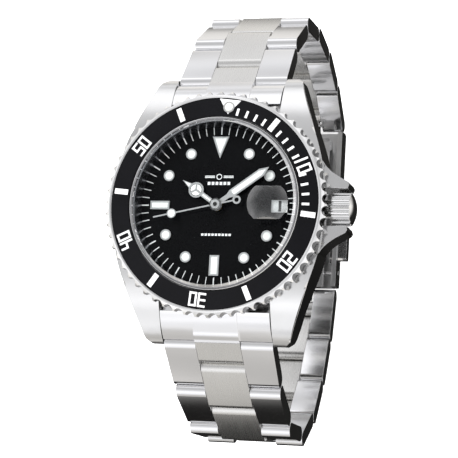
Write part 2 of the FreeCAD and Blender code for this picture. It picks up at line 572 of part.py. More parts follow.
middle = clasp_slab([(bend_a + 0.4, 0.35), (mid_end, -0.05), (mid_end, 0.65), (bend_a + 0.4, 1.05)],
                    -3.7, 3.7)
middle = middle.fuse([clasp_rod(1.1, -3.7, 3.7, bend_a, bend_b), clasp_rod(0.7, -3.7, 3.7, mid_end, 0.3)])
middle = middle.cut(clasp_rod(0.55, -20, 20, bend_a, bend_b)).cut(clasp_rod(0.4, -20, 20, mid_end, 0.3))
stub = clasp_rod(0.4, -8.5, 8.5, mid_end, 0.3)
parts["clasp_middle_blade"] = group([middle.removeSplitter(), stub])
parts["clasp_cover"] = shell.cut(clasp_rod(0.45, -20, 20, mid_end, 0.3)).removeSplitter()
for sx, side_name in ((1, "crown_side"), (-1, "far_side")):
    lo, hi = sorted((sx * 7.2, sx * 10.7))
    corners = [(sa, sb, near_edge) for sa, sb in ((-1, -1), (1, -1), (1, 1), (-1, 1))
               for near_edge in ((True, False) if sa == sb else (False, True))]
    push = clasp_slab([(button_a + sa * (button_half - (0 if side else 0.4)),
                        button_b + sb * (button_rise - (0.4 if side else 0)))
                       for sa, sb, side in corners], lo, hi)
    lo, hi = sorted((sx * 7.2, sx * 7.7))
    flange = clasp_block(button_a - button_half - 0.7, button_a + button_half + 0.7,
                         button_b - 1.0, button_b + 1.0, lo, hi)
    parts["clasp_button_" + side_name] = push.fuse(flange).removeSplitter()
parts["clasp_spring_bar"] = clasp_rod(0.5, -3.3, 3.3, 0, 0).fuse(clasp_rod(0.4, -6.5, 6.5, 0, 0))

for name, shape in parts.items():
    shape.exportStep("parts/%s.step" % name)
    if not shape.isValid():
        print("INVALID", name)
print(len(parts), "nodes; clasp pivots", [round(v, 2) for v in near + far], "span", round(span, 2))
for label, joints in (("12", side_12), ("6", side_6)):
    print(label, [(round(p[0], 3), round(p[1], 3)) for p, d in joints])
print("bend", [round(v, 3) for v in cl(bend_a, bend_b)])
print("mid", [round(v, 3) for v in cl(mid_end, 0.3)])
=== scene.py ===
"""Looks of a self-winding dive-style wristwatch on a steel bracelet.

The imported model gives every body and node; this file dresses them and adds the printed
scales, luminous fills and date numbers that are too thin to be separate CAD pieces.
"""
from __future__ import annotations

import json
import logging
import math
from dataclasses import dataclass, field
from enum import Enum
from typing import Callable, Iterable, Sequence

import bmesh
import bpy
from mathutils import Matrix, Vector


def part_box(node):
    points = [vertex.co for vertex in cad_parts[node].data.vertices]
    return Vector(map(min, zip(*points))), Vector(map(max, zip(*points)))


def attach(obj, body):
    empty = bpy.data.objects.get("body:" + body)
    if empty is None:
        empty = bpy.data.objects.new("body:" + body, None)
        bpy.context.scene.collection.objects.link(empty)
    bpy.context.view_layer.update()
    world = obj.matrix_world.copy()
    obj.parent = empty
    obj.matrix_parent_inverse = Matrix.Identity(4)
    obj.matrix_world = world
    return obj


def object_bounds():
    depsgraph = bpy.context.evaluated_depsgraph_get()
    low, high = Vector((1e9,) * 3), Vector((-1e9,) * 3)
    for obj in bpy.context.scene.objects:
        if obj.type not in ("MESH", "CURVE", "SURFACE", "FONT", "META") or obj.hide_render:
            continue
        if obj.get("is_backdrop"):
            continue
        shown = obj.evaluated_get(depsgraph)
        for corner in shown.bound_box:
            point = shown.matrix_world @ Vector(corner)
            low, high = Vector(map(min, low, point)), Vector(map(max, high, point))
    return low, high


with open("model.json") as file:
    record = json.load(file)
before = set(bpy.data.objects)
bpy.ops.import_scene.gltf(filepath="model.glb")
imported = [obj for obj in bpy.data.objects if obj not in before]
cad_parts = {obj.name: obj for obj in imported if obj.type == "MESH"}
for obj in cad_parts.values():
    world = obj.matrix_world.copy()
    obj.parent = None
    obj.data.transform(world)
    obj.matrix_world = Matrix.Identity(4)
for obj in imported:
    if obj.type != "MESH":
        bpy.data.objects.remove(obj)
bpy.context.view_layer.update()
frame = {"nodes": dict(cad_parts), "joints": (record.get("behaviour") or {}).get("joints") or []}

MM = 0.001
DIAL_Z = 8.5
LOG = logging.getLogger("wristwatch")

Point2 = tuple[float, float]
Point3 = tuple[float, float, float]
Colour = tuple[float, float, float]


# ---------------------------------------------------------------- node helpers
class Graph:
    """A material's node tree with short ways to add and join nodes."""

    def __init__(self, name: str) -> None:
        """Start an empty material.

        Args:
            name: The material's name.
        """
        self.material = bpy.data.materials.new(name)
        self.material.use_nodes = True
        self.tree = self.material.node_tree
        self.tree.nodes.clear()

    def add(self, kind: str, **values: object) -> bpy.types.Node:
        """Add a node and set its attributes.

        Args:
            kind: The node's type name.
            **values: Attributes of the node.

        Returns:
            The new node.
        """
        node = self.tree.nodes.new(kind)
        for key, value in values.items():
            setattr(node, key, value)
        return node

    def join(self, source: bpy.types.NodeSocket, target: bpy.types.NodeSocket) -> None:
        """Link two sockets.

        Args:
            source: Output socket.
            target: Input socket.
        """
        self.tree.links.new(source, target)

    def math(self, operation: str, a: object, b: object = 0.0, c: object = 0.0) -> bpy.types.NodeSocket:
        """Add a math node.

        Args:
            operation: The math operation.
            a: First input, a number or a socket.
            b: Second input.
            c: Third input.

        Returns:
            The result socket.
        """
        node = self.add("ShaderNodeMath", operation=operation)
        for socket, value in zip(node.inputs, (a, b, c)):
            if isinstance(value, bpy.types.NodeSocket):
                self.join(value, socket)
            else:
                socket.default_value = float(value)
        return node.outputs[0]

    def place(self) -> bpy.types.NodeSocket:
        """Object coordinates, which are the watch's own metres."""
        return self.add("ShaderNodeTexCoord").outputs["Object"]

    def scaled(self, scale: Point3) -> bpy.types.NodeSocket:
        """Object coordinates stretched per axis.

        Args:
            scale: Factor for each axis.

        Returns:
            The stretched vector.
        """
        node = self.add("ShaderNodeMapping")
        node.inputs["Scale"].default_value = scale
        self.join(self.place(), node.inputs["Vector"])
        return node.outputs["Vector"]

    def noise(self, vector: bpy.types.NodeSocket, scale: float,
              detail: float = 3.0) -> bpy.types.NodeSocket:
        """Noise along a vector.

        Args:
            vector: Coordinates.
            scale: Noise scale.
            detail: Noise detail.

        Returns:
            The noise factor.
        """
        node = self.add("ShaderNodeTexNoise")
        node.inputs["Scale"].default_value = scale
        node.inputs["Detail"].default_value = detail
        self.join(vector, node.inputs["Vector"])
        return node.outputs["Fac"]

    def ramp(self, value: bpy.types.NodeSocket,
             stops: Sequence[tuple[float, Colour]]) -> bpy.types.NodeSocket:
        """Colour ramp.

        Args:
            value: Position on the ramp.
            stops: Position and colour of each stop.

        Returns:
            The colour socket.
        """
        node = self.add("ShaderNodeValToRGB")
        points = node.color_ramp.elements
        while len(points) < len(stops):
            points.new(0.5)
        for point, (at, colour) in zip(points, stops):
            point.position = at
            point.color = (*colour, 1.0)
        self.join(value, node.inputs["Fac"])
        return node.outputs["Color"]

    def spread(self, value: bpy.types.NodeSocket, low: float, high: float) -> bpy.types.NodeSocket:
        """Map 0..1 to low..high.

        Args:
            value: The input.
            low: Result at 0.
            high: Result at 1.

        Returns:
            The mapped value.
        """
        return self.math("MULTIPLY_ADD", value, high - low, low)

    def bump(self, height: bpy.types.NodeSocket, strength: float, distance: float,
             base: bpy.types.NodeSocket | None = None) -> bpy.types.NodeSocket:
        """Bump from a height.

        Args:
            height: The height.
            strength: Bump strength.
            distance: Bump distance in metres.
            base: Normal to start from, or None for the surface's own.

        Returns:
            The bumped normal.
        """
        node = self.add("ShaderNodeBump")
        node.inputs["Strength"].default_value = strength
        node.inputs["Distance"].default_value = distance
        self.join(height, node.inputs["Height"])
        if base is not None:
            self.join(base, node.inputs["Normal"])
        return node.outputs["Normal"]

    def eased(self, radius: float) -> bpy.types.NodeSocket:
        """Normal with its sharp edges eased.

        Args:
            radius: Edge radius in metres.

        Returns:
            The eased normal.
        """
        node = self.add("ShaderNodeBevel", samples=4)
        node.inputs["Radius"].default_value = radius
        return node.outputs["Normal"]

    def axis(self, vector: bpy.types.NodeSocket, name: str) -> bpy.types.NodeSocket:
        """One part of a vector.

        Args:
            vector: The vector.
            name: X, Y or Z.

        Returns:
            That part.
        """
        node = self.add("ShaderNodeSeparateXYZ")
        self.join(vector, node.inputs[0])
        return node.outputs[name]

    def radius(self) -> bpy.types.NodeSocket:
        """Distance from the hands' axis in metres."""
        x, y = (self.axis(self.place(), k) for k in "XY")
        squares = self.math("ADD", self.math("MULTIPLY", x, x), self.math("MULTIPLY", y, y))
        return self.math("SQRT", squares)

    def along(self, direction: Point3, origin: Point3, scale: float) -> bpy.types.NodeSocket:
        """Distance from a point, measured along a direction.

        Args:
            direction: Unit direction.
            origin: Where the result is zero, in metres.
            scale: Factor on the distance.

        Returns:
            The scaled distance.
        """
        node = self.add("ShaderNodeVectorMath", operation="DOT_PRODUCT")
        self.join(self.place(), node.inputs[0])
        node.inputs[1].default_value = direction
        start = sum(a * b for a, b in zip(direction, origin))
        return self.math("MULTIPLY", self.math("SUBTRACT", node.outputs["Value"], start), scale)

    def blend(self, share: bpy.types.NodeSocket, a: object, b: object) -> bpy.types.NodeSocket:
        """Number that goes from a to b.

        Args:
            share: 0 for a and 1 for b.
            a: Number or socket.
            b: Number or socket.

        Returns:
            The mixed number.
        """
        return self.math("ADD", self.math("MULTIPLY", self.math("SUBTRACT", 1.0, share), a),
                         self.math("MULTIPLY", share, b))

    def principled(self) -> bpy.types.Node:
        """The main shader, joined to a new output."""
        shader = self.add("ShaderNodeBsdfPrincipled")
        self.join(shader.outputs[0], self.add("ShaderNodeOutputMaterial").inputs["Surface"])
        return shader


class Grain(Enum):
    """How a metal face was finished."""

    MIRROR = "mirror"
    ALONG = "along"
    ROUND = "round"
    STRIPES = "stripes"
    PEARLED = "pearled"


@dataclass(frozen=True)
class Metal:
    """Metal with a worked surface.

    Attributes:
        name: Material name.
        tint: Base colour.
        grain: Kind of working.
        rough: Lowest and highest roughness.
        depth: Bump distance of the grain in metres.
        flank: Polish faces that look sideways along X.
        edge: Radius of the eased edges in metres.
    """

    name: str
    tint: Colour
    grain: Grain
    rough: tuple[float, float]
    depth: float = 0.000004
    flank: bool = False
    edge: float = 0.00008

    def lines(self, g: Graph) -> bpy.types.NodeSocket:
        """Height pattern of the grain.

        Args:
            g: The graph.

        Returns:
            A factor from 0 to 1.
        """
        if self.grain is Grain.ALONG:
            return g.noise(g.scaled((1.0, 0.02, 0.02)), 9000.0, 4.0)
        if self.grain is Grain.MIRROR:
            return g.noise(g.place(), 700.0, 2.0)
        parts = g.add("ShaderNodeSeparateXYZ")
        g.join(g.place(), parts.inputs[0])
        x, y, z = parts.outputs
        if self.grain is Grain.ROUND:
            pack = g.add("ShaderNodeCombineXYZ")
            g.join(g.radius(), pack.inputs[0])
            g.join(g.math("MULTIPLY", z, 0.5), pack.inputs[1])
            return g.noise(pack.outputs[0], 9000.0, 4.0)
        if self.grain is Grain.STRIPES:
            return g.math("PINGPONG", g.math("MULTIPLY", g.math("ADD", x, y), 700.0), 1.0)
        cells = g.add("ShaderNodeTexVoronoi")
        cells.inputs["Scale"].default_value = 900.0
        cells.inputs["Randomness"].default_value = 0.15
        g.join(g.place(), cells.inputs["Vector"])
        return g.math("PINGPONG", g.math("MULTIPLY", cells.outputs["Distance"], 6.0), 0.5)

    def make(self) -> bpy.types.Material:
        """Build the material."""
        g = Graph(self.name)
        shader = g.principled()
        shader.inputs["Metallic"].default_value = 1.0
        height = self.lines(g)
        cloud = g.noise(g.place(), 160.0, 3.0)
        tone = g.math("ADD", g.spread(cloud, 0.94, 1.04), g.spread(height, -0.03, 0.03))
        dark = tuple(0.80 * c for c in self.tint)
        light = tuple(min(1.0, 1.06 * c) for c in self.tint)
        g.join(g.ramp(g.math("MULTIPLY_ADD", tone, 2.5, -2.0), ((0.0, dark), (1.0, light))),
               shader.inputs["Base Color"])
        rough = g.spread(g.math("MULTIPLY", g.math("ADD", height, cloud), 0.5), *self.rough)
        if self.flank:
            normal = g.add("ShaderNodeNewGeometry").outputs["True Normal"]
            side = g.math("GREATER_THAN", g.math("ABSOLUTE", g.axis(normal, "X")), 0.6)
            rough = g.blend(side, rough, 0.12)
        g.join(rough, shader.inputs["Roughness"])
        g.join(g.bump(height, 0.5, self.depth, g.eased(self.edge)), shader.inputs["Normal"])
        return g.material


@dataclass(frozen=True)
class CoinEdge:
    """Polished bezel ring; the scooped grip has painted shade darkening its base colour.

    Attributes:
        name: Material name.
        tint: Base colour.
        rim: Outer radius of the ring in metres.
        shade: Brightness of the painted shade left in the scoops.
        steep: Largest upward part of a scoop wall's normal.
        flat_top: Width of the unscooped rim in metres.
    """

    name: str
    tint: Colour
    rim: float
    shade: float = 0.16
    steep: float = 0.2
    flat_top: float = 0.00008

    def make(self) -> bpy.types.Material:
        """Build the material."""
        g = Graph(self.name)
        shader = g.principled()
        shader.inputs["Metallic"].default_value = 1.0
        radius = g.radius()
        normal = g.add("ShaderNodeNewGeometry").outputs["True Normal"]
        steep = g.math("LESS_THAN", g.math("ABSOLUTE", g.axis(normal, "Z")), self.steep)
        # Painted shade: the base colour of the steep scoop walls is darkened to the shade factor.
        scoop = g.math("MULTIPLY", steep, g.math("LESS_THAN", radius, self.rim - self.flat_top))
        haze = g.noise(g.place(), 220.0, 3.0)
        tone = g.math("MULTIPLY", g.spread(haze, 0.9, 1.05), g.spread(scoop, 1.0, self.shade))
        g.join(g.ramp(tone, ((0.0, (0.0, 0.0, 0.0)), (1.0, self.tint))), shader.inputs["Base Color"])
        g.join(g.spread(haze, 0.06, 0.14), shader.inputs["Roughness"])
        g.join(g.eased(0.00007), shader.inputs["Normal"])
        return g.material


@dataclass(frozen=True)
class HandSteel:
    """Bright hand with painted shade darkening the base colour of a middle recess and of a skirt round
    its hub.

    Attributes:
        name: Material name.
        tint: Base colour.
        recess: Radius of the middle with painted shade, in metres.
        lip: Outer radius of the bright ring in metres.
        skirt: Outer radius of the skirt with painted shade, in metres.
        deep: How dark the middle is.
        soft: How dark the skirt is.
    """

    name: str
    tint: Colour
    recess: float = 0.00036
    lip: float = 0.00080
    skirt: float = 0.00112
    deep: float = 0.9
    soft: float = 0.65

    def make(self) -> bpy.types.Material:
        """Build the material."""
        g = Graph(self.name)
        shader = g.principled()
        shader.inputs["Metallic"].default_value = 1.0
        radius = g.radius()
        # Painted shade: the middle and the skirt round the hub get a darker base colour.
        middle = g.math("LESS_THAN", radius, self.recess)
        round_it = g.math("MULTIPLY", g.math("GREATER_THAN", radius, self.lip),
                          g.math("LESS_THAN", radius, self.skirt))
        shade = g.math("MAXIMUM", g.math("MULTIPLY", middle, self.deep),
                       g.math("MULTIPLY", round_it, self.soft))
        cloud = g.noise(g.place(), 900.0, 3.0)
        tone = g.math("MULTIPLY", g.spread(cloud, 0.9, 1.0), g.math("SUBTRACT", 1.0, shade))
        g.join(g.ramp(tone, ((0.0, (0.0, 0.0, 0.0)), (1.0, self.tint))), shader.inputs["Base Color"])
        g.join(g.spread(cloud, 0.22, 0.34), shader.inputs["Roughness"])
        g.join(g.eased(0.00003), shader.inputs["Normal"])
        return g.material


@dataclass(frozen=True)
class LinkSteel:
    """Bracelet link: brushed centre plate between polished, faintly cushioned outer plates.

    Attributes:
        name: Material name.
        hinge: The link's first hinge centre, in metres.
        heading: Unit direction along the link.
        pitch: Hinge spacing in metres.
        core: Half width of the centre plate in metres.
        matt_from: Distance past the hinge where the brushed centre starts, in metres.
        crown: Height of the cushion in metres.
        outer: Colour of the polished plates.
        inner: Colour of the brushed plate.
    """

    name: str
    hinge: Point3
    heading: Point3
    pitch: float
    core: float = 0.00413
    matt_from: float = -0.01
    crown: float = 0.00030
    outer: Colour = (0.85, 0.85, 0.86)
    inner: Colour = (0.77, 0.765, 0.75)

    def make(self) -> bpy.types.Material:
        """Build the material."""
        g = Graph(self.name)
        shader = g.principled()
        shader.inputs["Metallic"].default_value = 1.0
        quarter = self.pitch / 4
        across = g.along(self.heading, self.hinge, 1.0)
        outer = g.math("MAXIMUM", g.math("LESS_THAN", across, self.matt_from),
                       g.math("GREATER_THAN", g.math("ABSOLUTE", g.axis(g.place(), "X")), self.core))
        middle = g.blend(outer, 3 * quarter, quarter)
        share = g.math("MULTIPLY", g.math("SUBTRACT", across, middle), 2 / self.pitch)
        cushion = g.math("MULTIPLY", g.math("MULTIPLY", share, share), -1.0)
        lines = g.noise(g.scaled((1.0, 0.02, 0.02)), 9000.0, 4.0)
        haze = g.noise(g.place(), 170.0, 3.0)
        tone = g.math("ADD", g.spread(haze, -0.10, 0.10),
                      g.blend(outer, g.spread(lines, 0.45, 0.55), 0.5))
        dull = g.ramp(tone, ((0.2, tuple(0.8 * c for c in self.inner)),
                             (0.8, tuple(1.1 * c for c in self.inner))))
        keen = g.ramp(tone, ((0.2, tuple(0.94 * c for c in self.outer)), (0.8, self.outer)))
        paint = g.add("ShaderNodeMix", data_type="RGBA")
        g.join(outer, paint.inputs["Factor"])
        g.join(dull, paint.inputs[6])
        g.join(keen, paint.inputs[7])
        g.join(paint.outputs[2], shader.inputs["Base Color"])
        worn = g.spread(haze, 0.09, 0.16)
        g.join(g.blend(outer, g.spread(lines, 0.22, 0.34), worn), shader.inputs["Roughness"])
        domed = g.bump(cushion, 1.0, self.crown, g.eased(0.00010))
        grain = g.math("MULTIPLY", lines, g.blend(outer, 1.0, 0.05))
        g.join(g.bump(grain, 0.5, 0.000003, domed), shader.inputs["Normal"])
        return g.material


@dataclass(frozen=True)
class Paint:
    """Lacquer, print, plastic or rubber.

    Attributes:
        name: Material name.
        tint: Base colour.
        rough: Lowest and highest roughness.
        coat: Clear coat weight.
        mottle: How much the colour varies.
        glow: Emission strength.
        depth: Bump distance in metres.
        scale: Noise scale of the surface.
        gloss: Specular level.
    """

    name: str
    tint: Colour
    rough: tuple[float, float]
    coat: float = 0.0
    mottle: float = 0.1
    glow: float = 0.0
    depth: float = 0.000005
    scale: float = 2500.0
    gloss: float = 0.5

    def make(self) -> bpy.types.Material:
        """Build the material."""
        g = Graph(self.name)
        shader = g.principled()
        fine = g.noise(g.place(), self.scale, 3.0)
        soft = g.noise(g.place(), 140.0, 2.0)
        low = tuple(c * (1 - self.mottle) for c in self.tint)
        high = tuple(min(1.0, c * (1 + self.mottle)) for c in self.tint)
        g.join(g.ramp(g.math("MULTIPLY", g.math("ADD", fine, soft), 0.5), ((0.3, low), (0.7, high))),
               shader.inputs["Base Color"])
        g.join(g.spread(fine, *self.rough), shader.inputs["Roughness"])
        shader.inputs["Specular IOR Level"].default_value = self.gloss
        shader.inputs["Coat Weight"].default_value = self.coat
        shader.inputs["Coat Roughness"].default_value = 0.04
        if self.glow:
            shader.inputs["Emission Color"].default_value = (*self.tint, 1.0)
            shader.inputs["Emission Strength"].default_value = self.glow
        g.join(g.bump(fine, 0.4, self.depth), shader.inputs["Normal"])
        return g.material


@dataclass(frozen=True)
class ThinGlass:
    """Clear glass that lets the dial through and keeps a surface gloss.

    Attributes:
        name: Material name.
        face: Share of gloss seen square on.
        rim: Share of gloss on walls and chamfers.
        grazing: Gloss added towards grazing angles.
        tint: Colour of what passes through.
        slope: How fast the gloss grows with the tilt of the face.
        level: Tilt up to which a face counts as square on.
        veil: Grazing gloss that is left out.
        gloss: Brightness of the gloss.
    """

    name: str
    face: float = 0.0
    rim: float = 0.35
    grazing: float = 0.5
    tint: Colour = (0.97, 0.98, 0.98)
    slope: float = 2.0
    gloss: float = 1.0
    level: float = 0.015
    veil: float = 0.08

    def make(self) -> bpy.types.Material:
        """Build the material."""
        g = Graph(self.name)
        clear = g.add("ShaderNodeBsdfTransparent")
        clear.inputs["Color"].default_value = (*self.tint, 1.0)
        gloss = g.add("ShaderNodeBsdfGlossy")
        gloss.inputs["Color"].default_value = (self.gloss, self.gloss, self.gloss, 1.0)
        g.join(g.spread(g.noise(g.place(), 300.0), 0.0, 0.04), gloss.inputs["Roughness"])
        facing = g.add("ShaderNodeLayerWeight")
        facing.inputs["Blend"].default_value = 0.12
        normal = g.add("ShaderNodeNewGeometry").outputs["Normal"]
        lean = g.math("SUBTRACT", 1.0, g.math("ABSOLUTE", g.axis(normal, "Z")))
        beyond = g.math("MAXIMUM", g.math("SUBTRACT", lean, self.level), 0.0)
        tilted = g.math("MINIMUM", g.math("MULTIPLY_ADD", beyond, self.slope, self.face), self.rim)
        grazed = g.math("MAXIMUM", g.math("SUBTRACT", facing.outputs["Fresnel"], self.veil), 0.0)
        share = g.math("ADD", g.math("MULTIPLY", grazed, self.grazing), tilted)
        mix = g.add("ShaderNodeMixShader")
        g.join(g.math("MINIMUM", share, 1.0), mix.inputs["Fac"])
        g.join(clear.outputs[0], mix.inputs[1])
        g.join(gloss.outputs[0], mix.inputs[2])
        g.join(mix.outputs[0], g.add("ShaderNodeOutputMaterial").inputs["Surface"])
        return g.material


STEEL: Colour = (0.80, 0.80, 0.80)
NICKEL: Colour = (0.74, 0.72, 0.68)
GILT: Colour = (0.83, 0.62, 0.30)
WHITE: Colour = (0.86, 0.87, 0.84)


class Finishes:
    """Every finish of the watch, built once."""

    def __init__(self) -> None:
        """Build the shared materials."""
        self.mirror = Metal("steel_mirror", STEEL, Grain.MIRROR, (0.05, 0.12), 0.000001).make()
        self.case = Metal("steel_case", STEEL, Grain.MIRROR, (0.08, 0.18), 0.000001, flank=True,
                          edge=0.00012).make()
        self.satin = Metal("steel_satin", (0.86, 0.86, 0.86), Grain.MIRROR, (0.38, 0.48),
                           edge=0.00003).make()
        self.brushed = Metal("steel_brushed", STEEL, Grain.ALONG, (0.22, 0.38), flank=True).make()
        self.turned = Metal("steel_turned", STEEL, Grain.ROUND, (0.15, 0.30)).make()
        self.flange = Metal("inner_flange", (0.34, 0.34, 0.36), Grain.ROUND, (0.18, 0.30)).make()
        self.plate = Metal("plate_pearled", NICKEL, Grain.PEARLED, (0.22, 0.42), 0.00001).make()
        self.bridge = Metal("bridge_striped", NICKEL, Grain.STRIPES, (0.16, 0.38), 0.00001).make()
        self.wheel = Metal("wheel_gilt", GILT, Grain.ROUND, (0.18, 0.34)).make()
        self.blued = Metal("steel_blued", (0.12, 0.17, 0.42), Grain.MIRROR, (0.15, 0.25)).make()
        self.insert = Paint("insert_black", (0.0035, 0.0035, 0.0045), (0.10, 0.2), 0.12, 0.3,
                            gloss=0.12).make()
        self.dial = Paint("dial_black", (0.003, 0.003, 0.0035), (0.16, 0.26), 0.0, 0.3,
                          gloss=0.10).make()
        self.print = Paint("print_white", (0.80, 0.80, 0.80), (0.35, 0.5), 0.0, 0.05).make()
        self.lume = Paint("lume", WHITE, (0.45, 0.6), 0.1, 0.04, 0.05, 0.00002, 5000.0).make()
        self.pearl = Paint("pearl", (0.80, 0.82, 0.76), (0.15, 0.25), 0.8, 0.05).make()
        # Painted light: the date ring glows with emission strength 0.25 to brighten it.
        self.date = Paint("date_white", (0.88, 0.88, 0.86), (0.4, 0.5), 0.0, 0.03, 0.25).make()
        self.ink = Paint("date_ink", (0.01, 0.01, 0.01), (0.3, 0.45)).make()
        self.rubber = Paint("rubber_black", (0.02, 0.02, 0.02), (0.5, 0.7), 0.0, 0.2).make()
        self.nylon = Paint("nylon_grey", (0.20, 0.20, 0.21), (0.3, 0.45), 0.0, 0.05).make()
        self.glass = ThinGlass("glass_crystal", rim=0.55).make()
        self.lens = ThinGlass("glass_lens", 0.12, 1.0, 0.6, (0.95, 0.96, 0.97), 5.0, 0.4).make()


def dress(node: str, material: bpy.types.Material) -> None:
    """Give a CAD node one material.

    Args:
        node: Node name.
        material: The material.
    """
    data = frame["nodes"][node].data
    data.materials.clear()
    data.materials.append(material)


def piece(name: str, mesh: bpy.types.Mesh, body: str,
          material: bpy.types.Material) -> bpy.types.Object:
    """Add a piece that rides on a body.

    Args:
        name: Piece name.
        mesh: Its mesh.
        body: Body it rides on.
        material: Its material.

    Returns:
        The new object.
    """
    made = bpy.data.objects.new(name, mesh)
    bpy.context.scene.collection.objects.link(made)
    mesh.materials.append(material)
    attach(made, body)
    LOG.info("piece %s on %s: %d faces", name, body, len(mesh.polygons))
    return made


def turn(point: Point2, degrees: float) -> Point2:
    """Turn a point clockwise about the hands' axis.

    Args:
        point: The point.
        degrees: Clock angle.

    Returns:
        The turned point.
    """
    a = math.radians(degrees)
    x, y = point
    return x * math.cos(a) + y * math.sin(a), -x * math.sin(a) + y * math.cos(a)


def rect(x0: float, x1: float, y0: float, y1: float) -> list[Point2]:
    """Corners of a rectangle."""
    return [(x0, y0), (x1, y0), (x1, y1), (x0, y1)]


def disc(x: float, y: float, r: float, count: int = 28) -> list[Point2]:
    """Corners of a round outline.

    Args:
        x: Centre.
        y: Centre.
        r: Radius.
        count: Number of corners.

    Returns:
        The outline.
    """
    return [(x + r * math.cos(2 * math.pi * k / count), y + r * math.sin(2 * math.pi * k / count))
            for k in range(count)]


def ring(x: float, y: float, inner: float, outer: float, count: int = 36) -> list[list[Point2]]:
    """Flat ring made of short sectors.

    Args:
        x: Centre.
        y: Centre.
        inner: Inner radius.
        outer: Outer radius.
        count: Number of sectors.

    Returns:
        One outline per sector.
    """
    def at(r: float, k: int) -> Point2:
        """Corner k at a radius."""
        a = 2 * math.pi * k / count
        return x + r * math.cos(a), y + r * math.sin(a)
    return [[at(inner, k), at(outer, k), at(outer, k + 1), at(inner, k + 1)] for k in range(count)]


def relief(name: str, outlines: Iterable[Sequence[Point2]], level: Callable[[float, float], float],
           height: float) -> bpy.types.Mesh:
    """Thin raised print or fill that follows a surface.

    Args:
        name: Mesh name.
        outlines: Closed outlines in millimetres, anticlockwise.
        level: Height of the surface under a point, in millimetres.
        height: Thickness in millimetres.

    Returns:
        The mesh, in metres.
    """
    bm = bmesh.new()
    for outline in outlines:
        low = [bm.verts.new((x * MM, y * MM, level(x, y) * MM)) for x, y in outline]
        high = [bm.verts.new((x * MM, y * MM, (level(x, y) + height) * MM)) for x, y in outline]
        bm.faces.new(high)
        bm.faces.new(low[::-1])
        for k in range(len(low)):
            n = (k + 1) % len(low)
            bm.faces.new((low[k], low[n], high[n], high[k]))
    bmesh.ops.recalc_face_normals(bm, faces=bm.faces)
    mesh = bpy.data.meshes.new(name)
    bm.to_mesh(mesh)
    bm.free()
    return mesh


# ---------------------------------------------------------------- bezel
@dataclass
class BezelScale:
    """Minute scale, numbers and triangle of the turning bezel."""

    rest_turn: float = 6.4
    inner: float = 15.46
    outer: float = 18.64
    top: float = 3.03
    slope: float = 0.0912
    stroke: float = 0.36
    digit_w: float = 1.42
    digit_h: float = 2.5
    bar_w: float = 0.95
    dash_w: float = 0.42
    film: float = 0.02
    cup_in: float = 0.78
    cup_out: float = 1.0
    cup_h: float = 0.16
    digits: dict[str, tuple[str, ...]] = field(default_factory=lambda: {
        "0": ("top", "low", "ul", "ll", "ur", "lr"), "1": ("stem",),
        "2": ("top", "mid", "low", "ur", "ll"),
        "3": ("top", "mid", "low", "ur", "lr"), "4": ("mid", "ul", "ur", "lr", "tips"),
        "5": ("top", "mid", "low", "ul", "lr")})

    def level(self, x: float, y: float) -> float:
        """Height of the insert's cone under a point, in millimetres.

        Args:
            x: Place.
            y: Place.

        Returns:
            The height.
        """
        return DIAL_Z + self.top - (math.hypot(x, y) - self.inner) * self.slope - 0.005

    def digit(self, sign: str, x: float, y: float) -> list[list[Point2]]:
        """Strokes of one squared number.

        Args:
            sign: The number.
            x: Left edge.
            y: Lower edge.

        Returns:
            Outlines that do not overlap.
        """
        w, h, s = self.digit_w, self.digit_h, self.stroke
        m = (h - s) / 2
        strokes = {"top": (0, w, h - s, h), "mid": (0, w, m, m + s), "low": (0, w, 0, s),
                   "ul": (0, s, m + s, h - s), "ur": (w - s, w, m + s, h - s),
                   "ll": (0, s, s, m), "lr": (w - s, w, s, m),
                   "stem": (w / 2 - s / 2, w / 2 + s / 2, 0, h)}
        out = []
        for part in self.digits[sign]:
            if part == "tips":
                out += [rect(x, x + s, y + h - s, y + h), rect(x + w - s, x + w, y + h - s, y + h),
                        rect(x + w - s, x + w, y, y + s)]
                continue
            x0, x1, y0, y1 = strokes[part]
            out.append(rect(x + x0, x + x1, y + y0, y + y1))
        if sign == "0":
            out.append(rect(x, x + s, y + m, y + m + s))
            out.append(rect(x + w - s, x + w, y + m, y + m + s))
        return out

    def outlines(self) -> list[list[Point2]]:
        """All marks of the scale, turned to the bezel's rest position."""
        marks: list[list[Point2]] = []
        middle = (self.inner + self.outer) / 2
        for minute in range(5, 60, 5):
            if minute % 10:
                flat = [rect(-self.bar_w / 2, self.bar_w / 2, self.inner + 0.35, self.outer - 0.3)]
            else:
                y = middle - self.digit_h / 2
                gap = 0.2
                flat = self.digit(str(minute // 10), -self.digit_w - gap / 2, y)
                flat += self.digit("0", gap / 2, y)
            marks += [[turn(p, minute * 6) for p in o] for o in flat]
        for minute in [m for m in range(1, 15) if m % 5]:
            flat = rect(-self.dash_w / 2, self.dash_w / 2, self.inner + 0.35, self.inner + 1.65)
            marks.append([turn(p, minute * 6) for p in flat])
        base, tip = self.outer - 0.15, self.inner + 0.35
        marks.append([(0.0, tip), (1.95, base), (-1.95, base)])
        return [[turn(p, self.rest_turn) for p in o] for o in marks]

    def build(self, f: Finishes) -> None:
        """Add the scale and dress the bezel's nodes.

        Args:
            f: The finishes.
        """
        mesh = relief("bezel_scale", self.outlines(), self.level, self.film)
        piece("bezel_scale", mesh, "bezel", f.print)
        low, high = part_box("bezel_pip")
        x, y = (500 * (low[k] + high[k]) for k in (0, 1))
        cup = ring(x, y, self.cup_in, self.cup_out)
        piece("bezel_pip_cup", relief("bezel_pip_cup", cup, self.level, self.cup_h), "bezel",
              f.mirror)
        dress("bezel_ring", CoinEdge("steel_coin_edge", STEEL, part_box("bezel_ring")[1][0]).make())
        dress("bezel_insert", f.insert)
        dress("bezel_pip", f.pearl)
        dress("bezel_click_spring", f.turned)


